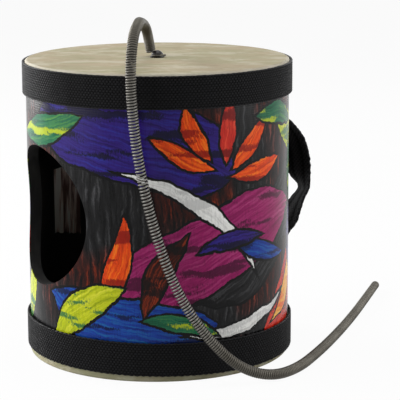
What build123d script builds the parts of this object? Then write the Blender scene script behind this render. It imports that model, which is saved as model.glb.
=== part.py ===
from build123d import *
import math
import os

# Spring drum: a fibre tube with a film head at each end, webbing bands over the heads' collars,
# a round sound port on -X, a webbing hand strap on +X and a long coil spring fixed at the middle
# of the top head. Millimetres, +Z up, origin at the middle of the base.

# Shell and its printed wrap
drum_height = 172.2
shell_outer_radius = 75.75
shell_wall = 6.0
bearing_edge_radius = 1.5
wrap_thickness = 0.4
wrap_margin = 2.5
glue_gap = 0.05

# Sound port
port_radius = 40.0
port_height = 87.0

# Heads and webbing bands
film_thickness = 0.4
collar_height = 16.0
band_width = 19.05
band_thickness = 1.5
band_edge_radius = 0.6
band_seam_angle = 63.0
band_seam_gap = 0.4
top_band_drop = 0.2
bottom_band_lift = 4.3

# Spring anchor at the middle of the top head
screw_shank_radius = 2.1
screw_head_radius = 3.5
screw_head_height = 2.2
screw_tip_length = 1.5
screw_hole_clearance = 0.1
anchor_washer_radius = 4.2
anchor_washer_thickness = 0.5
backing_washer_radius = 10.0
backing_washer_thickness = 1.0
nut_across_flats = 7.0
nut_height = 3.2

# Spring wire: the end loop, the straight lead and the coil
wire_diameter = 1.1
coil_outer_diameter = 6.0
coil_turns = 96
loop_radius = 3.2
loop_wrap_angle = 280.0
loop_clearance = 0.15
lead_angle = 127.0
lead_length = 3.6
lead_split = 1.4
lead_split_gap = 0.2
floor_gap = 0.2
bend_share = 0.45

# Hand strap and its rivets
strap_width = 19.05
strap_thickness = 1.6
strap_standoff = 22.5
strap_seat_gap = 0.05
low_rivet_lift = 20.15
high_rivet_drop = 7.45
rivet_tab_half_length = 6.0
rivet_shank_radius = 2.0
rivet_head_radius = 4.2
rivet_head_height = 1.8
rivet_tail_radius = 2.8
rivet_tail_height = 1.0
rivet_hole_clearance = 0.1
burr_radius = 5.0
burr_thickness = 0.8

# The strap's bow as shares of its span and standoff, with its roll in degrees: it stands off plain
# below, folds at its widest point and leans over above it
strap_stations = [
    (0.00, 0.00, 0.0),
    (0.06, 0.09, 0.0),
    (0.13, 0.33, 0.0),
    (0.23, 0.63, 0.0),
    (0.33, 0.82, 0.0),
    (0.43, 1.00, 2.0),
    (0.51, 0.87, 21.0),
    (0.63, 0.79, 30.0),
    (0.76, 0.62, 29.0),
    (0.87, 0.35, 20.0),
    (0.95, 0.09, 7.0),
    (1.00, 0.00, 0.0),
]

# Worked out from the sizes above
wrap_inner_radius = shell_outer_radius + glue_gap
wrap_outer_radius = wrap_inner_radius + wrap_thickness
shell_inner_radius = shell_outer_radius - shell_wall
collar_inner_radius = wrap_outer_radius + glue_gap
collar_outer_radius = collar_inner_radius + film_thickness
band_inner_radius = collar_outer_radius + glue_gap
band_outer_radius = band_inner_radius + band_thickness
shell_bottom = film_thickness + glue_gap
shell_top = drum_height - film_thickness - glue_gap
top_band_bottom = drum_height - top_band_drop - band_width
screw_hole_radius = screw_shank_radius + screw_hole_clearance
wire_radius = wire_diameter / 2
coil_radius = coil_outer_diameter / 2 - wire_radius
anchor_washer_top = drum_height + glue_gap + anchor_washer_thickness
loop_height = anchor_washer_top + loop_clearance + wire_radius
screw_seat = loop_height + wire_radius + loop_clearance
strap_seat_radius = wrap_outer_radius + strap_seat_gap + strap_thickness / 2
low_rivet_height = bottom_band_lift + band_width + low_rivet_lift
high_rivet_height = top_band_bottom - high_rivet_drop
rivet_heights = [low_rivet_height, high_rivet_height]
rivet_hole_radius = rivet_shank_radius + rivet_hole_clearance
lead_out = Vector(1, 0, 0).rotate(Axis.Z, lead_angle)
lead_along = Vector(1, 0, 0).rotate(Axis.Z, lead_angle - 90)
lead_start = lead_out * loop_radius + Vector(0, 0, loop_height)
coil_base = lead_start + lead_along * lead_length + lead_out * coil_radius
tail_height = coil_outer_diameter / 2 + floor_gap

# The spring's centre line from its base: over the rim, down past the wall and out along the floor
spring_route = [
    coil_base,
    (-2.3, 4.6, 181.0),
    (-7.0, -1.0, 189.0),
    (-14.5, -12.0, 195.0),
    (-25.5, -28.5, 199.0),
    (-38.0, -48.0, 198.5),
    (-48.5, -64.5, 187.5),
    (-51.5, -70.5, 163.5),
    (-48.5, -70.0, 137.0),
    (-45.0, -70.5, 114.5),
    (-40.0, -73.0, 90.0),
    (-32.0, -78.5, 62.0),
    (-21.5, -84.0, 39.5),
    (-7.0, -90.0, 19.5),
    (7.5, -93.0, 8.0),
    (23.0, -94.0, tail_height),
    (42.0, -88.0, tail_height),
    (66.5, -69.0, tail_height),
    (94.0, -45.0, tail_height),
    (128.0, -13.5, tail_height),
    (161.5, 22.0, tail_height),
    (188.5, 52.5, tail_height),
]


def ring(inner_radius, outer_radius, bottom, height):
    """A plain round tube about the drum's axis, standing on the given height."""
    at_bottom = Pos(0, 0, bottom)
    section = Circle(outer_radius) - Circle(inner_radius)
    return extrude(at_bottom * section, height)


def x_cylinder(radius, height, near, far):
    """A round bar along X at a height, from x = near to x = far."""
    face = Plane(origin=(near, 0, height), x_dir=(0, 1, 0), z_dir=(1, 0, 0)) * Circle(radius)
    return extrude(face, far - near)


def rivet_holes():
    """The bars that drill the two rivet holes through strap, wrap and shell on +X."""
    reach = strap_seat_radius + strap_thickness
    return [x_cylinder(rivet_hole_radius, z, shell_inner_radius - shell_wall, reach) for z in rivet_heights]


def port_bar():
    """The bar that cuts the sound port through the wall on -X."""
    return x_cylinder(port_radius, port_height, -band_outer_radius, -shell_inner_radius / 2)


def make_shell():
    """The fibre tube, with rounded bearing edges, the sound port and the rivet holes."""
    tube = ring(shell_inner_radius, shell_outer_radius, shell_bottom, shell_top - shell_bottom)
    middle_radius = (shell_inner_radius + shell_outer_radius) / 2
    rims = tube.edges().filter_by(GeomType.CIRCLE).filter_by(lambda e: e.radius > middle_radius)
    tube = fillet(rims, bearing_edge_radius)
    return tube - port_bar() - rivet_holes()


def make_wrap():
    """The printed sheet round the shell, cut away at the port and drilled for the rivets."""
    bottom = shell_bottom + wrap_margin
    sheet = ring(wrap_inner_radius, wrap_outer_radius, bottom, shell_top - wrap_margin - bottom)
    return sheet - port_bar() - rivet_holes()


def film_cup(collar):
    """A film head as a cup with its mouth down: a flat skin, a rounded edge and a straight collar."""
    outer_bend = bearing_edge_radius + film_thickness
    flat_reach = collar_outer_radius - outer_bend
    outside = [
        Line((0, 0), (flat_reach, 0)),
        RadiusArc((flat_reach, 0), (collar_outer_radius, -outer_bend), outer_bend),
        Line((collar_outer_radius, -outer_bend), (collar_outer_radius, -collar)),
    ]
    foot = Line((collar_outer_radius, -collar), (collar_inner_radius, -collar))
    inside = [
        Line((collar_inner_radius, -collar), (collar_inner_radius, -outer_bend)),
        RadiusArc((collar_inner_radius, -outer_bend), (flat_reach, -film_thickness), -bearing_edge_radius),
        Line((flat_reach, -film_thickness), (0, -film_thickness)),
        Line((0, -film_thickness), (0, 0)),
    ]
    section = Plane.XZ * make_face(Wire(outside + [foot] + inside))
    return revolve(section, Axis.Z)


def make_top_head():
    """The top film with the hole for the spring's screw."""
    hole = Pos(0, 0, drum_height) * Cylinder(screw_hole_radius, 4 * film_thickness)
    return Pos(0, 0, drum_height) * film_cup(collar_height) - hole


def make_bottom_head():
    """The bottom film, whose collar shows as a rim below the lower band."""
    return mirror(film_cup(collar_height + bottom_band_lift), Plane.XY)


def make_band(bottom):
    """A webbing band round a collar, with soft edges and a butt seam at the back."""
    band = ring(band_inner_radius, band_outer_radius, bottom, band_width)
    middle_radius = (band_inner_radius + band_outer_radius) / 2
    rims = band.edges().filter_by(GeomType.CIRCLE).filter_by(lambda e: e.radius > middle_radius)
    band = fillet(rims, band_edge_radius)
    slit = Pos(band_outer_radius, 0, bottom + band_width / 2) * Box(
        2 * (band_thickness + shell_wall), band_seam_gap, 2 * band_width
    )
    return band - Rot(0, 0, band_seam_angle) * slit


def dome(radius, height):
    """A domed fastener head about Z, with its flat face at z = 0."""
    ball_radius = (radius**2 + height**2) / (2 * height)
    edges = [
        Line((0, 0), (radius, 0)),
        RadiusArc((radius, 0), (0, height), -ball_radius),
        Line((0, height), (0, 0)),
    ]
    return revolve(Plane.XZ * make_face(Wire(edges)), Axis.Z)


def make_anchor_screw():
    """A round-head screw: domed head over the loop, shank through the film, tip below the nut."""
    head = Pos(0, 0, screw_seat) * dome(screw_head_radius, screw_head_height)
    tip = nut_bottom() - screw_tip_length
    shank = extrude(Pos(0, 0, tip) * Circle(screw_shank_radius), screw_seat + screw_head_height / 2 - tip)
    return head + shank


def backing_top():
    """The height just under the top film, where the backing washer sits."""
    return drum_height - film_thickness - glue_gap


def nut_bottom():
    """The height of the nut's lower face."""
    return backing_top() - backing_washer_thickness - glue_gap - nut_height


def make_washer(radius, hole_radius, bottom, thickness):
    """A flat round washer about the drum's axis."""
    return ring(hole_radius, radius, bottom, thickness)


def make_nut():
    """The hexagon nut under the backing washer."""
    hexagon = RegularPolygon(nut_across_flats / 2, 6, major_radius=False)
    return extrude(Pos(0, 0, nut_bottom()) * (hexagon - Circle(screw_hole_radius)), nut_height)


def round_bar(path, diameter):
    """A round bar swept along a path."""
    section = Plane(origin=path @ 0, z_dir=path % 0) * Circle(diameter / 2)
    return sweep(section, path=path)


def make_spring_end_loop():
    """The wire's last coil, turned flat round the screw, with the first part of the straight lead."""
    first = Vector(loop_radius, 0, loop_height).rotate(Axis.Z, lead_angle + loop_wrap_angle)
    middle = Vector(loop_radius, 0, loop_height).rotate(Axis.Z, lead_angle + loop_wrap_angle / 2)
    loop = ThreePointArc(first, middle, lead_start)
    lead = Line(lead_start, lead_start + lead_along * lead_split)
    return round_bar(Wire([loop, lead]), wire_diameter)


def route_axis(points):
    """The spring's centre line: straight runs joined by arcs as large as the runs allow."""
    points = [Vector(*p) for p in points]
    runs = [b - a for a, b in zip(points, points[1:])]
    radii = []
    for before, after in zip(runs, runs[1:]):
        half_turn = math.radians(before.get_angle(after)) / 2
        radii.append(bend_share * min(before.length, after.length) / math.tan(half_turn))
    print("spring route radii:", [round(r, 1) for r in radii])
    return FilletPolyline(*points, radius=radii)


def coil_stations(axis):
    """The wire's place and direction at every half turn, on a frame that turns only with its axis."""
    across = -lead_out
    step = axis.length / (2 * coil_turns)
    stations = []
    for i in range(2 * coil_turns + 1):
        along = axis.tangent_at(i * step, position_mode=PositionMode.LENGTH)
        across = (across - along * across.dot(along)).normalized()
        side = along.cross(across) * (-1) ** i
        place = axis.position_at(i * step, position_mode=PositionMode.LENGTH)
        place += across * coil_radius * (-1) ** i
        stations.append((place, (along * step + side * math.pi * coil_radius).normalized()))
    return stations


def biarc(start, start_direction, end, end_direction):
    """Two arcs from start to end that share a tangent where they meet."""
    chord = end - start
    a = 2 * (1 - start_direction.dot(end_direction))
    b = 2 * chord.dot(start_direction + end_direction)
    reach = (-b + math.sqrt(b * b + 4 * a * chord.dot(chord))) / (2 * a)
    first_corner = start + start_direction * reach
    last_corner = end - end_direction * reach
    meeting = (first_corner + last_corner) * 0.5
    direction = (last_corner - first_corner).normalized()
    return [TangentArc(start, meeting, tangent=start_direction), TangentArc(meeting, end, tangent=direction)]


def least_self_gap(edges):
    """The least gap between neighbouring turns, measured on points of the wire."""
    samples = 4
    half_turns_compared = 6
    points = [edge @ (i / samples) for edge in edges for i in range(samples)]
    half_turn = 2 * samples
    nearest = min(
        (points[i] - points[j]).length
        for i in range(len(points))
        for j in range(i + half_turn, min(i + half_turns_compared * half_turn, len(points)))
    )
    return nearest - wire_diameter


def make_spring():
    """The coil as one unbroken wire: the straight lead, biarcs of half a turn and a straight end."""
    axis = route_axis(spring_route)
    lead_from = lead_start + lead_along * (lead_split + lead_split_gap)
    lead_to = lead_start + lead_along * lead_length
    edges = [Line(lead_from, lead_to)]
    place, direction = lead_to, lead_along
    for next_place, next_direction in coil_stations(axis)[1:]:
        edges += biarc(place, direction, next_place, next_direction)
        place, direction = next_place, next_direction
    print("spring turns:", coil_turns, "pitch:", round(axis.length / coil_turns, 2))
    print("spring least self-gap:", round(least_self_gap(edges), 2))
    edges.append(Line(place, place + direction * wire_diameter))
    path = Wire(edges)
    spring = round_bar(path, wire_diameter)
    print("spring volume over section times length:",
          round(spring.volume / (math.pi * wire_radius**2 * path.length), 4))
    return spring


def strap_path():
    """The strap's stations as (distance from the axis, height, roll), from tab end to tab end."""
    low = low_rivet_height + rivet_tab_half_length
    high = high_rivet_height - rivet_tab_half_length
    bow = [
        (strap_seat_radius + standoff * strap_standoff, low + share * (high - low), roll)
        for share, standoff, roll in strap_stations
    ]
    first = (strap_seat_radius, low_rivet_height - rivet_tab_half_length, 0.0)
    last = (strap_seat_radius, high_rivet_height + rivet_tab_half_length, 0.0)
    return [first] + bow + [last]


def strap_section(before, here, after):
    """The webbing's rectangle at a station, square to the path and rolled about it."""
    along = Vector(after[0] - before[0], 0, after[1] - before[1]).normalized()
    outward = Vector(along.Z, 0, -along.X)
    roll = math.radians(here[2])
    across = Vector(0, 1, 0) * math.cos(roll) - outward * math.sin(roll)
    through = along.cross(across)
    middle = Vector(here[0], 0, here[1])
    half_width = across * (strap_width / 2)
    half_depth = through * (strap_thickness / 2)
    corners = [
        middle - half_width - half_depth,
        middle + half_width - half_depth,
        middle + half_width + half_depth,
        middle - half_width + half_depth,
    ]
    return make_face(Polyline(*corners, close=True))


def make_handle_strap():
    """The webbing strap: two tabs flat on the wall and a bow between them that folds and leans."""
    path = strap_path()
    padded = [path[0]] + path + [path[-1]]
    sections = [strap_section(*padded[i : i + 3]) for i in range(len(path))]
    return loft(sections, ruled=True) - rivet_holes()


def make_strap_rivet(height):
    """A rivet through tab, wrap and shell: domed head outside, clinched tail over the burr inside."""
    seat = strap_seat_radius + strap_thickness / 2 + glue_gap
    head = Pos(seat, 0, height) * Rot(0, 90, 0) * dome(rivet_head_radius, rivet_head_height)
    tail_end = burr_face() - burr_thickness - glue_gap - rivet_tail_height
    shank = x_cylinder(rivet_shank_radius, height, tail_end, seat + rivet_head_height / 2)
    tail = x_cylinder(rivet_tail_radius, height, tail_end, tail_end + rivet_tail_height)
    return head + shank + tail


def burr_face():
    """The x of the burrs' outer face, where their edges meet the curved inner wall."""
    return math.sqrt(shell_inner_radius**2 - burr_radius**2) - glue_gap


def make_rivet_burr(height):
    """The washer that a rivet is clinched over inside the shell."""
    near = burr_face() - burr_thickness
    disc = x_cylinder(burr_radius, height, near, burr_face())
    return disc - x_cylinder(rivet_hole_radius, height, near - burr_thickness, burr_face() + burr_thickness)


parts = {
    "shell": make_shell(),
    "shell_wrap": make_wrap(),
    "top_head": make_top_head(),
    "bottom_head": make_bottom_head(),
    "top_band": make_band(top_band_bottom),
    "bottom_band": make_band(bottom_band_lift),
    "anchor_screw": make_anchor_screw(),
    "anchor_washer": make_washer(
        anchor_washer_radius, screw_hole_radius, drum_height + glue_gap, anchor_washer_thickness
    ),
    "backing_washer": make_washer(
        backing_washer_radius,
        screw_hole_radius,
        backing_top() - backing_washer_thickness,
        backing_washer_thickness,
    ),
    "anchor_nut": make_nut(),
    "spring_end_loop": make_spring_end_loop(),
    "spring": make_spring(),
    "handle_strap": make_handle_strap(),
    "strap_rivet_low": make_strap_rivet(low_rivet_height),
    "strap_rivet_high": make_strap_rivet(high_rivet_height),
    "rivet_burr_low": make_rivet_burr(low_rivet_height),
    "rivet_burr_high": make_rivet_burr(high_rivet_height),
}

os.makedirs("parts", exist_ok=True)
for name, shape in parts.items():
    export_step(shape, f"parts/{name}.step")
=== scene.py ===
import math

import bpy
import numpy as np
from mathutils import Matrix, Vector


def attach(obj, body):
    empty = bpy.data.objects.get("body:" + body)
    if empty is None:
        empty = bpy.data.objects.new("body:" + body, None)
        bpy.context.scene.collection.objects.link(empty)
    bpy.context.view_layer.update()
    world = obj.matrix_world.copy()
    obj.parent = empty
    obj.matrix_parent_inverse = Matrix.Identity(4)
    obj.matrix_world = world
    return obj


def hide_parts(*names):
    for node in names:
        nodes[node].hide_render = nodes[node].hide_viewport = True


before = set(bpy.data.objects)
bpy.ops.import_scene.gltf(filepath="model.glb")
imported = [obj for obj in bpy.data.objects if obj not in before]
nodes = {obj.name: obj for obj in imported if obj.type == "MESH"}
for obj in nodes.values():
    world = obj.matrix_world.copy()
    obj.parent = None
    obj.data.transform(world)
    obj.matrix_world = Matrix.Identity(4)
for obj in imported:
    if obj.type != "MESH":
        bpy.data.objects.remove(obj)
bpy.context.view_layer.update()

# Sizes from the object's source, in metres
wrap_radius = 0.0762
shell_inner_radius = 0.06975
band_inner_radius = 0.0767
band_thickness = 0.0015
band_width = 0.01905
band_seam_angle = math.radians(63)
band_seam_gap = 0.0004
top_band_bottom = 0.15295
bottom_band_bottom = 0.0043
loop_radius = 0.0032
loop_height = 0.17345
coil_diameter = 0.006
lead_angle = math.radians(127)
lead_length = 0.0036
lead_split = 0.0014
lead_split_gap = 0.0002
strap_width = 0.01905
strap_thickness = 0.0016
strap_seat = 0.07705
strap_standoff = 0.0225
low_rivet_height = 0.0435
high_rivet_height = 0.1455
rivet_tab = 0.006

# Where each film turns pale: the top one at its bend, and the base one past its rim, so nowhere
top_film_bend = 0.0750
base_film_bend = 0.0900

# A painted pool of light on the inner wall, seen through the port, with an uneven lower edge that slopes
inner_face_margin = 0.0005
light_patch_top = 0.101
light_patch_bottom = 0.062
light_patch_wave = 0.006
light_patch_slope = -0.0136
light_patch_left = math.radians(127.8)
light_patch_right = math.radians(107.2)

# How the bands and the strap differ from their plain solids
top_band_trim = 0.0005
top_band_scallop = 0.0001
bottom_band_drop = 0.0008
bottom_band_extra = 0.0004
bottom_band_lean = 0.0010
bottom_band_scallop = 0.0003
strap_scallop = 0.0005

# The weave, and the points that draw it along a strip and round its section
band_rib = 0.0020
strap_rib = 0.0025
weave_rows = 14
weave_depth = 0.0004
yarn_roundness = 0.7
row_share = 0.75
scallop_ribs = 1.75
uneven_share = 0.4
uneven_step = 0.0022
uneven_past_end = 0.01
high_edge_seed = 3
low_edge_seed = 8
band_points = 1500
strap_points = 420
face_points = 61
back_step = 4
edge_points = 5

# The wire as it is drawn, a little thicker than its solid: points in a turn, sides, and the step at which the
# spring's line is read
wire_diameter = 0.0012
turn_points = 18
wire_sides = 10
line_step = 0.00025
spline_points = 40
lead_points = 4
unshaded_points = 12
# Painted shade on the wire starts where a side faces outward less than this share
turn_shade_from = 0.55
narrow_from = 0.34
narrow_end_share = 0.88
# Turns opened past closed_pitch take the painted highlight, in full once open_pitch_rise wider
closed_pitch = 0.0013
open_pitch_rise = 0.0004
loop_turn = math.radians(205)
loop_step = math.radians(6)
loop_tip_turn = math.radians(40)
loop_tip_flare = 0.0016

# The spring's centre line after its base, over the rim, down past the wall and out along the floor
spring_route = [
    (-0.0029, 0.0050, 0.1815),
    (-0.0073, -0.0010, 0.1890),
    (-0.0147, -0.0122, 0.1934),
    (-0.0253, -0.0289, 0.1963),
    (-0.0358, -0.0489, 0.1984),
    (-0.0470, -0.0644, 0.1931),
    (-0.0516, -0.0698, 0.1698),
    (-0.0489, -0.0699, 0.1380),
    (-0.0450, -0.0706, 0.1138),
    (-0.0400, -0.0728, 0.0901),
    (-0.0326, -0.0781, 0.0620),
    (-0.0224, -0.0840, 0.0391),
    (-0.0081, -0.0906, 0.0192),
    (0.0061, -0.0947, 0.0077),
    (0.0222, -0.0970, 0.0032),
    (0.0418, -0.0904, 0.0032),
    (0.0670, -0.0702, 0.0032),
    (0.0946, -0.0455, 0.0032),
    (0.1277, -0.0135, 0.0032),
    (0.1603, 0.0204, 0.0032),
    (0.1848, 0.0461, 0.0032),
]

# Places along the spring and how far apart its turns are there: close on the arch and the floor, and opened
# by its weight between them
pitch_stations = [
    (0.0000, 0.00380),
    (0.0019, 0.00380),
    (0.0022, 0.00200),
    (0.0030, 0.00125),
    (0.085, 0.00123),
    (0.105, 0.00131),
    (0.116, 0.00140),
    (0.127, 0.00152),
    (0.137, 0.00166),
    (0.148, 0.00175),
    (0.160, 0.00184),
    (0.180, 0.00187),
    (0.214, 0.00186),
    (0.236, 0.00176),
    (0.247, 0.00170),
    (0.259, 0.00154),
    (0.270, 0.00140),
    (0.282, 0.00130),
    (0.294, 0.00123),
    (0.540, 0.00121),
]

# The strap's bow as shares of its span and standoff, with its roll in degrees
strap_stations = [
    (0.00, 0.00, 0),
    (0.06, 0.15, 3),
    (0.13, 0.28, 4),
    (0.20, 0.53, 4),
    (0.27, 0.66, 0),
    (0.34, 0.84, -10),
    (0.40, 1.00, -13),
    (0.45, 0.95, 1),
    (0.50, 0.88, 14),
    (0.56, 0.84, 22),
    (0.64, 0.79, 24),
    (0.74, 0.67, 21),
    (0.86, 0.35, 11),
    (0.94, 0.08, 3),
    (1.00, 0.00, 0),
]

# The photograph's view
view_turn = math.radians(-26.7)
camera_distance = 1.0164
camera_height = 0.2972
camera_yaw = 0.02398
camera_pitch = 0.20325
camera_roll = -0.0040
camera_lens = 158.79

# The light: each softbox's name, place and target across, into and above the view, width, height and power
wall_middle = (0, 0, 0.09)
softboxes = [
    ("left_softbox", (-0.97, -0.23, 0.35), wall_middle, 0.85, 1.1, 12),
    ("left_rim", (-0.90, 0.70, 0.30), wall_middle, 0.40, 0.9, 18),
    ("right_softbox", (0.97, -0.23, 0.35), wall_middle, 0.85, 1.1, 8),
    ("right_rim", (0.70, 0.95, 0.25), wall_middle, 0.40, 0.9, 2),
    ("top_softbox", (0.0, 0.0, 1.3), (0, 0, 0.1), 1.0, 0.8, 6.4),
]
room_strength = 0.12
floor_reach = 4.0
floor_shade = 0.75
floor_white = 0.95


def unit(v):
    """Each vector at length 1."""
    return v / np.linalg.norm(v, axis=-1, keepdims=True)


def add_mesh(name, points, faces, material, smooth=True):
    """A new mesh object in the scene with one material."""
    mesh = bpy.data.meshes.new(name)
    mesh.from_pydata([tuple(p) for p in points], [], [tuple(f) for f in faces])
    mesh.validate()
    if smooth:
        mesh.shade_smooth()
    mesh.materials.append(material)
    obj = bpy.data.objects.new(name, mesh)
    bpy.context.scene.collection.objects.link(obj)
    return obj


def add_mark(piece, name, shares):
    """Stores a share at each of the mesh's points, for its material."""
    mark = piece.data.attributes.new(name, "FLOAT", "POINT")
    mark.data.foreach_set("value", np.asarray(shares, np.float32))


def grid_faces(rows, columns):
    """Quads of a tube of rows rings, each of columns points, with a cap at each end."""
    i, j = np.meshgrid(np.arange(rows - 1), np.arange(columns), indexing="ij")
    k = (j + 1) % columns
    quads = np.stack([i * columns + j, i * columns + k, (i + 1) * columns + k, (i + 1) * columns + j], -1)
    faces = quads.reshape(-1, 4).tolist()
    return faces + [list(range(columns))[::-1], list(range((rows - 1) * columns, rows * columns))]


class Pen:
    """Writes one material's nodes in short calls: numbers or sockets go in and a socket comes out."""

    def __init__(self, name):
        self.material = bpy.data.materials.new(name)
        self.material.use_nodes = True
        self.tree = self.material.node_tree
        self.tree.nodes.clear()
        self.output = self.tree.nodes.new("ShaderNodeOutputMaterial")
        self.shader = self.tree.nodes.new("ShaderNodeBsdfPrincipled")
        self.tree.links.new(self.shader.outputs[0], self.output.inputs[0])
        self.place = self.tree.nodes.new("ShaderNodeTexCoord").outputs["Object"]

    def put(self, socket, value):
        if isinstance(value, bpy.types.NodeSocket):
            self.tree.links.new(value, socket)
        else:
            socket.default_value = value

    def set(self, **values):
        """Sets the shader's own sockets, named with _ for each space."""
        for name, value in values.items():
            self.put(self.shader.inputs[name.replace("_", " ")], value)
        return self

    def math(self, operation, *values):
        node = self.tree.nodes.new("ShaderNodeMath")
        node.operation = operation
        for socket, value in zip(node.inputs, values):
            self.put(socket, value)
        return node.outputs[0]

    def mark(self, name):
        """A share that the mesh holds at its points, or 0 where it holds none."""
        node = self.tree.nodes.new("ShaderNodeAttribute")
        node.attribute_name = name
        return node.outputs["Fac"]

    def axes(self, vector):
        node = self.tree.nodes.new("ShaderNodeSeparateXYZ")
        self.put(node.inputs[0], vector)
        return node.outputs

    def vector(self, x, y):
        node = self.tree.nodes.new("ShaderNodeCombineXYZ")
        for socket, value in zip(node.inputs, (x, y)):
            self.put(socket, value)
        return node.outputs[0]

    def mapped(self, vector, scale, turn=0.0):
        node = self.tree.nodes.new("ShaderNodeMapping")
        self.put(node.inputs["Vector"], vector)
        node.inputs["Scale"].default_value = scale
        node.inputs["Rotation"].default_value = (0, 0, turn)
        return node.outputs[0]

    def noise(self, vector, scale, detail=2.0, roughness=0.5):
        node = self.tree.nodes.new("ShaderNodeTexNoise")
        self.put(node.inputs["Vector"], vector)
        node.inputs["Scale"].default_value = scale
        node.inputs["Detail"].default_value = detail
        node.inputs["Roughness"].default_value = roughness
        return node.outputs

    def ramp(self, share, stops):
        """Colours, or greys written as one number, at positions from 0 to 1."""
        node = self.tree.nodes.new("ShaderNodeValToRGB")
        self.put(node.inputs[0], share)
        elements = node.color_ramp.elements
        while len(elements) < len(stops):
            elements.new(1.0)
        for element, (position, colour) in zip(elements, stops):
            element.position = position
            element.color = (*colour, 1) if hasattr(colour, "__len__") else (colour, colour, colour, 1)
        return node.outputs[0]

    def mix(self, share, below, above, blend="MIX"):
        node = self.tree.nodes.new("ShaderNodeMix")
        node.data_type = "RGBA"
        node.blend_type = blend
        self.put(node.inputs[0], share)
        for socket, colour in ((node.inputs[6], below), (node.inputs[7], above)):
            self.put(socket, colour if isinstance(colour, bpy.types.NodeSocket) else (*colour, 1))
        return node.outputs[2]

    def span(self, value, low, high):
        """A share from 0 to 1 moved to the range from low to high."""
        node = self.tree.nodes.new("ShaderNodeMapRange")
        self.put(node.inputs[0], value)
        node.inputs["To Min"].default_value = low
        node.inputs["To Max"].default_value = high
        return node.outputs[0]

    def bump(self, height, depth, strength):
        node = self.tree.nodes.new("ShaderNodeBump")
        self.put(node.inputs["Height"], height)
        node.inputs["Distance"].default_value = depth
        node.inputs["Strength"].default_value = strength
        self.put(self.shader.inputs["Normal"], node.outputs[0])

    def from_axis(self, x, y):
        """The distance from the drum's axis."""
        return self.math("SQRT", self.math("ADD", self.math("MULTIPLY", x, x), self.math("MULTIPLY", y, y)))


def film_material(name, shade, bend_radius):
    """Cream fibre-look film: green and rosy blotches, streaks on one lie, paler from its bend outwards."""
    pen = Pen(name)
    x, y = pen.axes(pen.place)[:2]
    bend_waver = 0.0012
    bend_width = 1 / 800
    turned_place = pen.mapped(pen.place, (1, 1, 1), -view_turn)
    blotch = pen.noise(pen.mapped(turned_place, (44, 80, 80)), 1.0, 6.0, 0.65)[0]
    patches = pen.noise(pen.mapped(turned_place, (20, 38, 38)), 1.0, 5.0, 0.62)[0]
    smears = pen.noise(pen.mapped(turned_place, (70, 200, 200)), 1.0, 6.0, 0.7)[0]
    fibres = pen.noise(pen.mapped(turned_place, (500, 1500, 900)), 1.0, 3.0, 0.7)[0]
    green, rosy, light, dark, pale = (
        tuple(s * c for s, c in zip(shade, tone))
        for tone in (
            (0.370, 0.345, 0.222),
            (0.430, 0.360, 0.250),
            (0.545, 0.505, 0.390),
            (0.280, 0.236, 0.147),
            (0.600, 0.570, 0.500),
        )
    )
    colour = pen.mix(pen.ramp(patches, [(0.43, 0.0), (0.57, 1.0)]), green, rosy)
    colour = pen.mix(pen.ramp(blotch, [(0.48, 0.0), (0.60, 0.8)]), colour, light)
    colour = pen.mix(pen.ramp(smears, [(0.54, 0.0), (0.64, 0.45)]), colour, dark)
    colour = pen.mix(pen.span(fibres, 0.0, 0.12), colour, dark)
    radius = pen.math("MULTIPLY_ADD", blotch, bend_waver, pen.from_axis(x, y))
    past_bend = pen.math("MULTIPLY_ADD", radius, 1 / bend_width, -bend_radius / bend_width)
    colour = pen.mix(pen.ramp(past_bend, [(0.0, 0.0), (1.0, 0.5)]), colour, pale)
    pen.bump(fibres, 0.00006, 0.5)
    roughness = pen.span(blotch, 0.6, 0.8)
    return pen.set(Base_Color=colour, Roughness=roughness, Specular_IOR_Level=0.08).material


def shell_material():
    """Black painted fibre tube with a faint wound grain, and a painted pool of light on the inner wall."""
    pen = Pen("fibre_shell")
    x, y, z = pen.axes(pen.place)
    grain = pen.noise(pen.mapped(pen.place, (300, 300, 45)), 1.0, 4.0)[0]
    runs = pen.noise(pen.mapped(pen.place, (260, 260, 26)), 1.0, 3.0, 0.6)[0]
    colour = pen.ramp(grain, [(0.3, (0.006, 0.006, 0.006)), (0.7, (0.015, 0.0145, 0.014))])
    # Painted light: a pale patch on the inner wall, seen through the port, that falls off to brown along its
    # run.
    around = pen.math("ARCTAN2", y, x)
    along_patch = pen.math("SUBTRACT", light_patch_left, around)
    edge = pen.math("MULTIPLY_ADD", runs, light_patch_wave, light_patch_bottom - light_patch_wave / 2)
    edge = pen.math("MULTIPLY_ADD", along_patch, light_patch_slope, edge)
    light_patch_mask = pen.math("MULTIPLY", pen.math("GREATER_THAN", z, edge), pen.math("LESS_THAN", z, light_patch_top))
    light_patch_mask = pen.math("MULTIPLY", light_patch_mask, pen.math("GREATER_THAN", along_patch, 0.0))
    light_patch_mask = pen.math("MULTIPLY", light_patch_mask, pen.math("GREATER_THAN", around, light_patch_right))
    inner_face = pen.math("LESS_THAN", pen.from_axis(x, y), shell_inner_radius + inner_face_margin)
    light_patch_mask = pen.math("MULTIPLY", light_patch_mask, inner_face)
    patch_falloff = pen.math("MULTIPLY_ADD", along_patch, 0.40, pen.math("SUBTRACT", runs, 0.05))
    light_patch_tones = [(0.46, (0.95, 0.92, 0.88)), (0.53, (0.72, 0.55, 0.50)), (0.60, (0.18, 0.09, 0.08))]
    light_patch_colour = pen.ramp(patch_falloff, light_patch_tones)
    colour = pen.mix(light_patch_mask, colour, light_patch_colour)
    pen.bump(grain, 0.0002, 0.3)
    roughness = pen.span(grain, 0.32, 0.5)
    return pen.set(Base_Color=colour, Roughness=roughness, Specular_IOR_Level=0.5).material


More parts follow.
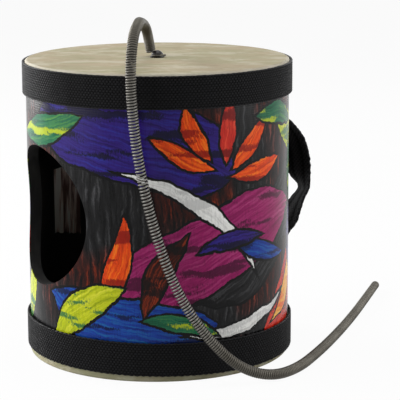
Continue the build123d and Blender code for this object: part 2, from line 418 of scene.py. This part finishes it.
def webbing_material(name, tone, gloss):
    """Black polypropylene webbing, a little glossy, with painted shade in the dips between yarns that the
    mesh marks.
    """
    pen = Pen(name)
    fibres = pen.noise(pen.mapped(pen.place, (2600, 2600, 1100)), 1.0, 3.0)[0]
    cloud = pen.noise(pen.place, 120.0, 2.0)[0]
    colour = pen.ramp(fibres, [(0.3, (0.002, 0.002, 0.0022)), (0.7, (0.006, 0.006, 0.0065))])
    colour = pen.mix(pen.span(cloud, 0.0, 0.3), colour, (0.008, 0.0078, 0.008))
    colour = pen.mix(1.0, colour, (tone, tone, tone), "MULTIPLY")
    # Painted shade: the dips between yarns are darkened, where the yarns shade them.
    dip = pen.ramp(pen.mark("dip"), [(0.15, 0.0), (0.80, 1.0)])
    colour = pen.mix(dip, colour, (0.001, 0.001, 0.001))
    pen.bump(fibres, 0.0002, 0.4)
    return pen.set(
        Base_Color=colour,
        Roughness=pen.span(dip, 0.42, 0.75),
        Specular_IOR_Level=gloss,
        Sheen_Weight=0.015,
        Sheen_Roughness=0.4,
    ).material


def metal_material(name, dark, light, rough):
    """Plated metal, a little uneven: painted highlight on open turns, painted shade on each turn's inner
    side.
    """
    # Painted highlight: the bright colour on open turns stands in for the highlights on their crowns.
    open_turn_highlight = (0.160, 0.155, 0.143)
    # Painted shade: dark colour on each turn's inner side, where the turns shade one another.
    turn_shade_colour = (0.012, 0.011, 0.010)
    pen = Pen(name)
    cloud = pen.noise(pen.place, 60.0, 3.0)[0]
    colour = pen.mix(pen.ramp(cloud, [(0.35, 0.0), (0.65, 1.0)]), dark, light)
    colour = pen.mix(pen.mark("open"), colour, open_turn_highlight)
    colour = pen.mix(pen.mark("turn_shade"), colour, turn_shade_colour)
    roughness = pen.span(cloud, rough - 0.05, rough + 0.07)
    return pen.set(Base_Color=colour, Metallic=1.0, Roughness=roughness).material


def black_fastener_material():
    """Black plated steel, shiny, with faint scuffs."""
    pen = Pen("dark_steel")
    scuffs = pen.noise(pen.place, 700.0, 4.0)[0]
    colour = pen.ramp(scuffs, [(0.35, (0.007, 0.006, 0.006)), (0.7, (0.024, 0.021, 0.021))])
    roughness = pen.span(scuffs, 0.2, 0.36)
    return pen.set(Base_Color=colour, Roughness=roughness, Specular_IOR_Level=0.22).material


def srgb(red, green, blue):
    """A colour as seen on screen, from 0 to 255, as linear light."""
    return tuple(((c / 255 + 0.055) / 1.055) ** 2.4 for c in (red, green, blue))


# The print, in millimetres around the wrap from the middle of the port and up it. It repeats twice around.
print_repeat = math.pi * wrap_radius * 1000
print_start = -30.0
print_drift = 5.0
print_raggedness = 1.6
stroke_line = 1.5
stroke_margin = 2
streak_run = 0.03
streak_pitch = 0.6
canvas_rib = 0.9
canvas_pick = 1.3
line_black = (10, 10, 11)

# Each paint's dark, middle, light and dry tones
paint = {
    "smoke": [(8, 8, 9), (30, 30, 31), (84, 84, 86), (12, 12, 13)],
    "rust": [(10, 6, 6), (62, 20, 12), (176, 62, 24), (14, 9, 9)],
    "magenta": [(104, 12, 64), (146, 24, 92), (180, 70, 126), (70, 10, 46)],
    "night": [(22, 13, 66), (46, 26, 112), (42, 50, 150), (14, 12, 34)],
    "sea": [(14, 32, 100), (22, 60, 152), (30, 112, 160), (10, 22, 62)],
    "fire": [(150, 24, 10), (232, 74, 16), (255, 146, 32), (140, 22, 10)],
    "red": [(128, 16, 14), (206, 44, 32), (238, 96, 62), (110, 14, 14)],
    "amber": [(216, 118, 22), (250, 182, 54), (255, 222, 130), (232, 92, 20)],
    "lime": [(110, 132, 12), (186, 196, 26), (226, 224, 70), (26, 104, 62)],
    "green": [(10, 52, 36), (28, 104, 72), (90, 150, 60), (178, 192, 32)],
    "white": [(186, 186, 184), (238, 238, 234), (250, 250, 248), (206, 206, 204)],
}

# Strokes of the print, back to front: each one's middle around and up, turn in degrees, half length, half
# width, bow, the power by which it tapers, and its paint
print_strokes = [
    (66, 130, -14, 64, 23, 6, 6, "night"),
    (158, 92, 40, 74, 17, -12, 4, "smoke"),
    (116, 60, 24, 76, 21, 12, 4, "magenta"),
    (66, 38, -8, 52, 15, -6, 4, "sea"),
    (178, 46, 50, 44, 14, -8, 4, "red"),
    (180, 48, 50, 30, 6, -7, 2, "amber"),
    (98, 128, 152, 20, 5.0, 2, 2, "fire"),
    (106, 139, 118, 17, 5.0, 2, 2, "fire"),
    (124, 140, 86, 18, 5.2, -1, 2, "red"),
    (140, 133, 46, 20, 5.2, -2, 2, "fire"),
    (146, 117, 10, 21, 5.0, -2, 2, "fire"),
    (184, 130, -38, 32, 10.5, 4, 2, "lime"),
    (198, 104, -72, 26, 8.0, -3, 2, "green"),
    (168, 142, -10, 24, 6.5, 3, 2, "green"),
    (104, 88, -36, 50, 4.0, 11, 2, "white"),
    (136, 33, 12, 36, 3.6, -5, 2, "white"),
    (88, 60, 62, 26, 6.0, 4, 2, "rust"),
    (58, 66, 74, 28, 6.5, -3, 2, "fire"),
    (40, 36, 36, 30, 9.0, 4, 2, "lime"),
    (8, 140, 14, 32, 8.5, -3, 2, "green"),
    (-16, 36, 64, 26, 8.5, 2, 2, "lime"),
    (96, 30, -14, 22, 4.5, 3, 2, "green"),
    (150, 72, -18, 26, 5.2, -3, 2, "sea"),
    (128, 76, 8, 22, 4.2, 2, 2, "night"),
    (196, 72, 84, 22, 7.0, 4, 2, "night"),
]


def draw_stroke(pen, colour, u, v, dry, stroke):
    """A bowed brush stroke that narrows to both ends, streaked along its run, with a black edge."""
    middle_u, middle_v, turn, half_length, half_width, bow, taper, fill = stroke
    c, s = math.cos(math.radians(turn)), math.sin(math.radians(turn))
    du = pen.math("SUBTRACT", u, middle_u)
    dv = pen.math("SUBTRACT", v, middle_v)
    along = pen.math("MULTIPLY_ADD", du, c, pen.math("MULTIPLY", dv, s))
    across = pen.math("MULTIPLY_ADD", dv, c, pen.math("MULTIPLY", du, -s))
    share = pen.math("ABSOLUTE", pen.math("DIVIDE", along, half_length))
    body = pen.math("SUBTRACT", 1.0, pen.math("POWER", share, taper))
    from_bow = pen.math("MULTIPLY_ADD", body, -bow, across)
    off = pen.math("ABSOLUTE", from_bow)
    width = pen.math("MULTIPLY", body, half_width)
    streak_u = pen.math("MULTIPLY_ADD", along, streak_run, middle_u)
    streak_v = pen.math("MULTIPLY", from_bow, streak_pitch)
    streaks = pen.noise(pen.vector(streak_u, streak_v), 1.0, 3.0, 0.65)[0]
    tones = [srgb(*tone) for tone in paint[fill]]
    body_colour = pen.ramp(streaks, list(zip((0.26, 0.50, 0.76), tones)))
    body_colour = pen.mix(dry, body_colour, tones[3])
    lined = pen.math("LESS_THAN", off, pen.math("ADD", width, stroke_line))
    colour = pen.mix(lined, colour, srgb(*line_black))
    return pen.mix(pen.math("LESS_THAN", off, width), colour, body_colour)


def print_colour(pen, u, v):
    """The print, painted from its ground up. A stroke over the edge of the repeat is drawn at both ends."""
    brushed = pen.noise(pen.mapped(pen.vector(u, v), (0.42, 0.05, 1), math.radians(-16)), 1.0, 4.0, 0.65)[0]
    warm = pen.noise(pen.mapped(pen.vector(u, v), (0.02, 0.014, 1)), 1.0, 1.0)[0]
    stops = (0.40, 0.56, 0.74)
    cool = pen.ramp(brushed, list(zip(stops, (srgb(*tone) for tone in paint["smoke"]))))
    rusty = pen.ramp(brushed, list(zip(stops, (srgb(*tone) for tone in paint["rust"]))))
    colour = pen.mix(pen.ramp(warm, [(0.45, 0.0), (0.55, 1.0)]), cool, rusty)
    bristles = pen.noise(pen.mapped(pen.vector(u, v), (1.5, 0.5, 1), 0.3), 1.0, 3.0, 0.7)[0]
    areas = pen.noise(pen.mapped(pen.vector(u, v), (0.022, 0.12, 1), 0.3), 1.0, 2.0)[0]
    dry = pen.ramp(pen.math("MULTIPLY_ADD", bristles, 0.3, areas), [(0.70, 0.0), (0.73, 0.9)])
    for stroke in print_strokes:
        middle, reach = stroke[0], stroke[3] + stroke_margin
        for shift in (-print_repeat, 0, print_repeat):
            if middle + shift + reach > print_start and middle + shift - reach < print_start + print_repeat:
                colour = draw_stroke(pen, colour, u, v, dry, (middle + shift, *stroke[1:]))
    return colour


def wavered(pen, value, noise, size):
    """A place on the print, moved by noise up to half of size either way."""
    return pen.math("ADD", value, pen.math("MULTIPLY_ADD", noise, size, -size / 2))


def wrap_material():
    """The printed wrap under a glossy laminate with a fine canvas emboss."""
    pen = Pen("printed_wrap")
    x, y, z = pen.axes(pen.place)
    around = pen.math("ARCTAN2", pen.math("MULTIPLY", y, -1), pen.math("MULTIPLY", x, -1))
    flat_u = pen.math("MULTIPLY", around, wrap_radius * 1000)
    flat_v = pen.math("MULTIPLY", z, 1000)
    drift = pen.axes(pen.noise(pen.place, 65.0, 2.0)[1])
    ragged = pen.axes(pen.noise(pen.place, 520.0, 2.0, 0.7)[1])
    u = wavered(pen, wavered(pen, flat_u, drift[0], print_drift), ragged[0], print_raggedness)
    v = wavered(pen, wavered(pen, flat_v, drift[1], print_drift), ragged[1], print_raggedness)
    u = pen.math("WRAP", u, print_start + print_repeat, print_start)
    colour = print_colour(pen, u, v)
    brush = pen.noise(pen.mapped(pen.vector(flat_u, flat_v), (0.9, 0.16, 1), 0.4), 1.0, 4.0, 0.7)[0]
    shade = pen.ramp(brush, [(0.25, 0.62), (0.5, 0.95), (0.75, 1.0)])
    colour = pen.mix(1.0, colour, shade, "MULTIPLY")
    ribs = pen.math("SINE", pen.math("MULTIPLY", flat_u, 2 * math.pi / canvas_rib))
    picks = pen.math("SINE", pen.math("MULTIPLY", flat_v, 2 * math.pi / canvas_pick))
    canvas = pen.math("MULTIPLY_ADD", picks, 0.4, ribs)
    pen.bump(canvas, 0.00004, 0.35)
    roughness = pen.span(brush, 0.14, 0.22)
    return pen.set(Base_Color=colour, Roughness=roughness, Specular_IOR_Level=0.12).material


def route_line():
    """The spring's smooth centre line, read from a spline with the route's points."""
    out = Vector((math.cos(lead_angle), math.sin(lead_angle), 0))
    along = Vector((out.y, -out.x, 0))
    base = out * (loop_radius + coil_diameter / 2 - wire_diameter / 2) + along * lead_length
    base.z = loop_height
    curve = bpy.data.curves.new("spring_route", "CURVE")
    curve.dimensions = "3D"
    spline = curve.splines.new("NURBS")
    points = [tuple(base)] + spring_route
    spline.points.add(len(points) - 1)
    for point, place in zip(spline.points, points):
        point.co = (*place, 1)
    spline.order_u = 3
    spline.use_endpoint_u = True
    spline.resolution_u = spline_points
    obj = bpy.data.objects.new("spring_route", curve)
    bpy.context.scene.collection.objects.link(obj)
    mesh = bpy.data.meshes.new_from_object(obj)
    line = np.array([v.co for v in mesh.vertices])
    bpy.data.objects.remove(obj)
    bpy.data.curves.remove(curve)
    bpy.data.meshes.remove(mesh)
    return line, np.array(base), np.array(out), np.array(along)


def wire_tube(points, side):
    """A round wire along points. side is a direction across the wire at each point."""
    tangent = unit(np.gradient(points, axis=0))
    side = unit(side - tangent * (side * tangent).sum(1, keepdims=True))
    other = np.cross(tangent, side)
    turn = np.arange(wire_sides) * 2 * math.pi / wire_sides
    ring = side[:, None] * np.cos(turn)[None, :, None] + other[:, None] * np.sin(turn)[None, :, None]
    tube = points[:, None] + ring * wire_diameter / 2
    return tube.reshape(-1, 3), grid_faces(len(points), wire_sides)


def carried_across(tangent, first):
    """A direction across a line at each of its points, carried along it from first without twist."""
    across = np.empty_like(tangent)
    carried = first
    for i, t in enumerate(tangent):
        carried = carried - t * (carried @ t)
        carried = carried / np.linalg.norm(carried)
        across[i] = carried
    return across


def add_spring(material):
    """The coil: one wire wound round the route's line, from the straight lead at the loop to its end."""
    line, base, out, along = route_line()
    length = np.r_[0, np.cumsum(np.linalg.norm(np.diff(line, axis=0), axis=1))]
    s = np.arange(0, length[-1], line_step)
    centre = np.stack([np.interp(s, length, line[:, k]) for k in range(3)], 1)
    tangent = unit(np.gradient(centre, axis=0))
    across = carried_across(tangent, -out)
    stations = np.array(pitch_stations)
    pitch = np.interp(s, stations[:, 0], stations[:, 1])
    turns = np.r_[0, np.cumsum(line_step / pitch[:-1])]
    count = int(turns[-1] * turn_points)
    at = np.interp(np.arange(count + 1) / turn_points, turns, s)
    angle = np.arange(count + 1) * 2 * math.pi / turn_points

    def sampled(values):
        return np.stack([np.interp(at, s, values[:, k]) for k in range(3)], 1)

    t = unit(sampled(tangent))
    n = unit(sampled(across))
    b = np.cross(t, n)
    radial = n * np.cos(angle)[:, None] + b * np.sin(angle)[:, None]
    narrowing = np.interp(at, [narrow_from, length[-1]], [1.0, narrow_end_share])
    coil = sampled(centre) + radial * (narrowing * coil_diameter - wire_diameter)[:, None] / 2
    lead_from = base - out * (coil_diameter - wire_diameter) / 2
    lead_run = lead_length - lead_split - lead_split_gap
    lead = np.array([lead_from - along * lead_run * (1 - k / lead_points) for k in range(lead_points)])
    points = np.vstack([lead, coil])
    points_at = np.r_[np.zeros(lead_points), at]
    verts, faces = wire_tube(points, np.vstack([np.tile(-out, (lead_points, 1)), radial]))
    coil_piece = add_mesh("spring_coil", verts, faces, material)
    # Painted shade: the wire's sides that face the coil's axis are marked dark, where the turns shade them.
    facing = np.cos(np.arange(wire_sides) * 2 * math.pi / wire_sides)
    shade = np.tile(np.clip(turn_shade_from - facing, 0, 1), len(points))
    shade[: unshaded_points * wire_sides] = 0
    add_mark(coil_piece, "turn_shade", shade)
    # Painted highlight: open turns are marked for a brighter colour that stands in for their crowns'
    # highlights.
    opened = np.clip((np.interp(points_at, s, pitch) - closed_pitch) / open_pitch_rise, 0, 1)
    opened[:turn_points] = 0
    add_mark(coil_piece, "open", np.repeat(opened, wire_sides))
    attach(coil_piece, "spring")
    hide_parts("spring")


def add_loop(material):
    """The wire's end turned flat round the screw, with a tip that stands out, and its part of the lead."""
    out = np.array([math.cos(lead_angle), math.sin(lead_angle), 0])
    along = np.array([out[1], -out[0], 0])
    lead = [out * loop_radius + along * lead_split * k / lead_points for k in range(lead_points, 0, -1)]
    arc = []
    for turn in np.arange(0, loop_turn, loop_step):
        spread = max(0.0, (turn - loop_turn + loop_tip_turn) / loop_tip_turn)
        radius = loop_radius + loop_tip_flare * spread**2
        arc.append(radius * np.array([math.cos(lead_angle + turn), math.sin(lead_angle + turn), 0]))
    points = np.array(lead + arc) + np.array([0, 0, loop_height])
    verts, faces = wire_tube(points, np.tile([0.0, 0, 1], (len(points), 1)))
    piece = add_mesh("spring_loop_wire", verts, faces, material)
    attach(piece, "spring_loop")
    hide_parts("spring_end_loop")


def weave(u, v, width, rib):
    """How far the webbing's face dips, from 0 on a yarn's crown to 1 between yarns, in a brick lay."""
    row = v / width * weave_rows
    shift = np.floor(row) % 2 * 0.5
    crown = np.abs(np.sin(math.pi * (u / rib + shift)))
    round_yarn = np.abs(np.sin(math.pi * row))
    return 1 - crown**yarn_roundness * (1 - row_share + row_share * round_yarn**yarn_roundness)


def wander(run, size, seed):
    """A smooth uneven line along a strip's run, of about this size."""
    knots = np.arange(0, run[-1] + uneven_past_end, uneven_step)
    heights = np.random.default_rng(seed).normal(0, size, len(knots))
    return np.interp(run, knots, heights)


def webbing_strip(name, centre, across, outward, width, thickness, rib, scallop, material):
    """A woven strip along centre: yarns on both faces, edges rounded, scalloped by the weft and uneven."""
    run = np.r_[0, np.cumsum(np.linalg.norm(np.diff(centre, axis=0), axis=1))]
    face = np.linspace(-0.5, 0.5, face_points) * (width - thickness)
    behind = face[::-back_step]
    bend = np.linspace(0, math.pi, edge_points + 2)[1:-1]
    edge_v = np.sin(bend) * thickness / 2
    edge_w = np.cos(bend) * thickness / 2
    v = np.r_[face, face[-1] + edge_v, behind, face[0] - edge_v]
    w = np.r_[np.full(face_points, thickness / 2), edge_w, np.full(len(behind), -thickness / 2), -edge_w]
    part = np.repeat(np.arange(4), (face_points, edge_points, len(behind), edge_points))
    top, upper, back, lower = ((part == k).astype(float) for k in range(4))
    dip = weave(run[:, None], v[None] + width / 2, width, rib)
    pulled = scallop * (0.5 - 0.5 * np.cos(2 * math.pi * run / (rib * scallop_ribs)))
    high_edge = np.abs(wander(run, scallop * uneven_share, high_edge_seed)) + pulled
    low_edge = np.abs(wander(run, scallop * uneven_share, low_edge_seed)) + pulled
    vv = v[None] - upper[None] * high_edge[:, None] + lower[None] * low_edge[:, None]
    ww = w[None] - weave_depth * dip * top[None] + weave_depth * dip * back[None]
    points = centre[:, None] + across[:, None] * vv[..., None] + outward[:, None] * ww[..., None]
    piece = add_mesh(name, points.reshape(-1, 3), grid_faces(len(centre), len(v)), material)
    # The dips are also stored as a mark, for the painted shade between yarns.
    add_mark(piece, "dip", (dip * (top + back)[None]).reshape(-1))
    return piece


def add_band(name, node, bottom, width, lean, scallop, material):
    """A webbing band round a collar, butted at the back. It lies a little lower on one side."""
    radius = band_inner_radius + band_thickness / 2
    half_gap = band_seam_gap / 2 / radius
    turn = np.linspace(band_seam_angle + half_gap, band_seam_angle + 2 * math.pi - half_gap, band_points)
    outward = np.stack([np.cos(turn), np.sin(turn), np.zeros_like(turn)], 1)
    centre = outward * radius
    centre[:, 2] = bottom + width / 2 - lean * np.cos(turn - view_turn)
    across = np.tile([0.0, 0, 1], (len(turn), 1))
    piece = webbing_strip(name, centre, across, outward, width, band_thickness, band_rib, scallop, material)
    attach(piece, "drum")
    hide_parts(node)


def hermite(knots, values, at):
    """A smooth line through values at knots, with each slope from the neighbours."""
    slope = np.gradient(values, knots, axis=0)
    i = np.clip(np.searchsorted(knots, at, side="right") - 1, 0, len(knots) - 2)
    h = (knots[i + 1] - knots[i])[:, None]
    t = ((at - knots[i])[:, None]) / h
    return (
        values[i] * (1 + 2 * t) * (1 - t) ** 2
        + slope[i] * h * t * (1 - t) ** 2
        + values[i + 1] * t**2 * (3 - 2 * t)
        + slope[i + 1] * h * t**2 * (t - 1)
    )


def add_strap(material):
    """The hand strap: flat tabs on the wall, and a bow that folds at its widest and leans above."""
    low = low_rivet_height + rivet_tab
    high = high_rivet_height - rivet_tab
    path = [(strap_seat, low - 2 * rivet_tab, 0)]
    path += [(strap_seat + b * strap_standoff, low + a * (high - low), r) for a, b, r in strap_stations]
    path += [(strap_seat, high + 2 * rivet_tab, 0)]
    path = np.array(path, float)
    knots = np.r_[0, np.cumsum(np.linalg.norm(np.diff(path[:, :2], axis=0), axis=1))]
    at = np.linspace(0, knots[-1], strap_points)
    line = hermite(knots, path, at)
    line[:, 0] = np.maximum(line[:, 0], strap_seat)
    centre = np.stack([line[:, 0], np.zeros(len(at)), line[:, 1]], 1)
    along = unit(np.gradient(centre, axis=0))
    out = np.stack([along[:, 2], np.zeros(len(at)), -along[:, 0]], 1)
    roll = np.radians(line[:, 2])[:, None]
    across = np.array([[0.0, 1, 0]]) * np.cos(roll) - out * np.sin(roll)
    outward = out * np.cos(roll) + np.array([[0.0, 1, 0]]) * np.sin(roll)
    piece = webbing_strip(
        "strap_webbing",
        centre,
        across,
        outward,
        strap_width,
        strap_thickness,
        strap_rib,
        strap_scallop,
        material,
    )
    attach(piece, "drum")
    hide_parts("handle_strap")


def dress(node, material):
    """Gives a CAD node its material."""
    slots = nodes[node].data.materials
    slots.clear()
    slots.append(material)


def turned(x, y, z):
    """A place given across, into and above the photograph's view."""
    return Matrix.Rotation(view_turn, 3, "Z") @ Vector((x, y, z))


def add_camera():
    """The camera at the photograph's view."""
    forward = turned(
        math.sin(camera_yaw) * math.cos(camera_pitch),
        math.cos(camera_yaw) * math.cos(camera_pitch),
        -math.sin(camera_pitch),
    )
    level = forward.cross(Vector((0, 0, 1))).normalized()
    upright = level.cross(forward)
    right = level * math.cos(camera_roll) + upright * math.sin(camera_roll)
    up = upright * math.cos(camera_roll) - level * math.sin(camera_roll)
    data = bpy.data.cameras.new("camera")
    data.sensor_width = 36
    data.lens = camera_lens
    data.clip_start = 0.01
    obj = bpy.data.objects.new("camera", data)
    axes = Matrix((right, up, -forward)).transposed()
    obj.matrix_world = Matrix.Translation(turned(0, -camera_distance, camera_height)) @ axes.to_4x4()
    bpy.context.scene.collection.objects.link(obj)
    bpy.context.scene.camera = obj


def add_softbox(name, place, target, width, height, power):
    """An area lamp that faces its target."""
    data = bpy.data.lights.new(name, "AREA")
    data.shape = "RECTANGLE"
    data.size = width
    data.size_y = height
    data.energy = power
    obj = bpy.data.objects.new(name, data)
    place, target = turned(*place), turned(*target)
    obj.location = place
    obj.rotation_euler = (target - place).to_track_quat("-Z", "Y").to_euler()
    bpy.context.scene.collection.objects.link(obj)


def background_share(tree, most):
    """A share that is most where the camera, a reflection or glass sees the background, and 0 elsewhere."""
    path = tree.nodes.new("ShaderNodeLightPath")
    seen = path.outputs["Is Camera Ray"]
    for name in ("Is Glossy Ray", "Is Transmission Ray"):
        either = tree.nodes.new("ShaderNodeMath")
        either.operation = "MAXIMUM"
        tree.links.new(seen, either.inputs[0])
        tree.links.new(path.outputs[name], either.inputs[1])
        seen = either.outputs[0]
    share = tree.nodes.new("ShaderNodeMath")
    share.operation = "MULTIPLY"
    tree.links.new(seen, share.inputs[0])
    share.inputs[1].default_value = most
    return share.outputs[0]


def show_white(tree, plain, white, most, output):
    """Joins a background's two shaders: white where it is seen, and plain where it lights the object."""
    mix = tree.nodes.new("ShaderNodeMixShader")
    tree.links.new(background_share(tree, most), mix.inputs[0])
    tree.links.new(plain.outputs[0], mix.inputs[1])
    tree.links.new(white.outputs[0], mix.inputs[2])
    tree.links.new(mix.outputs[0], output.inputs[0])


def add_floor():
    """A plain pale floor, seen as white with a faint shadow."""
    material = bpy.data.materials.new("floor")
    material.use_nodes = True
    tree = material.node_tree
    tree.nodes.clear()
    output = tree.nodes.new("ShaderNodeOutputMaterial")
    pale = tree.nodes.new("ShaderNodeBsdfDiffuse")
    pale.inputs["Color"].default_value = (floor_shade, floor_shade, floor_shade, 1)
    white = tree.nodes.new("ShaderNodeEmission")
    show_white(tree, pale, white, floor_white, output)
    corners = [(x * floor_reach, y * floor_reach, 0) for x, y in ((-1, -1), (1, -1), (1, 1), (-1, 1))]
    add_mesh("floor", corners, [(0, 1, 2, 3)], material, smooth=False)


def add_world():
    """An even dim room, white where it is seen."""
    world = bpy.data.worlds.new("room")
    bpy.context.scene.world = world
    world.use_nodes = True
    tree = world.node_tree
    tree.nodes.clear()
    output = tree.nodes.new("ShaderNodeOutputWorld")
    dim = tree.nodes.new("ShaderNodeBackground")
    dim.inputs["Color"].default_value = (0.5, 0.5, 0.5, 1)
    dim.inputs["Strength"].default_value = room_strength
    white = tree.nodes.new("ShaderNodeBackground")
    white.inputs["Color"].default_value = (1, 1, 1, 1)
    show_white(tree, dim, white, 1.0, output)


bpy.context.scene.view_settings.view_transform = "Standard"

film = film_material("drum_film", (1, 1, 1), top_film_bend)
# Painted shade: the base film is a darker copy of the top film for the lower, less lit head, with a slightly
# greener tint.
shaded_base_film = film_material("shaded_base_film", (0.80, 0.84, 0.80), base_film_bend)
webbing = webbing_material("webbing", 3.1, 0.038)
strap_webbing = webbing_material("strap_webbing", 4.2, 0.012)
spring_steel = metal_material("spring_steel", (0.076, 0.070, 0.059), (0.106, 0.099, 0.084), 0.48)
plated_steel = metal_material("plated_steel", (0.40, 0.39, 0.36), (0.62, 0.61, 0.58), 0.32)
dark_steel = black_fastener_material()

dress("shell", shell_material())
dress("shell_wrap", wrap_material())
dress("top_head", film)
dress("bottom_head", shaded_base_film)
for node in ("anchor_screw", "anchor_washer", "strap_rivet_low", "strap_rivet_high"):
    dress(node, dark_steel)
for node in ("backing_washer", "anchor_nut", "rivet_burr_low", "rivet_burr_high"):
    dress(node, plated_steel)

add_camera()
add_spring(spring_steel)
add_loop(spring_steel)
top_width = band_width - top_band_trim
bottom_width = band_width + bottom_band_extra
bottom_edge = bottom_band_bottom - bottom_band_drop
add_band("top_webbing_band", "top_band", top_band_bottom, top_width, 0.0, top_band_scallop, webbing)
add_band(
    "bottom_webbing_band",
    "bottom_band",
    bottom_edge,
    bottom_width,
    bottom_band_lean,
    bottom_band_scallop,
    webbing,
)
add_strap(strap_webbing)

add_floor()
add_world()
for softbox in softboxes:
    add_softbox(*softbox)
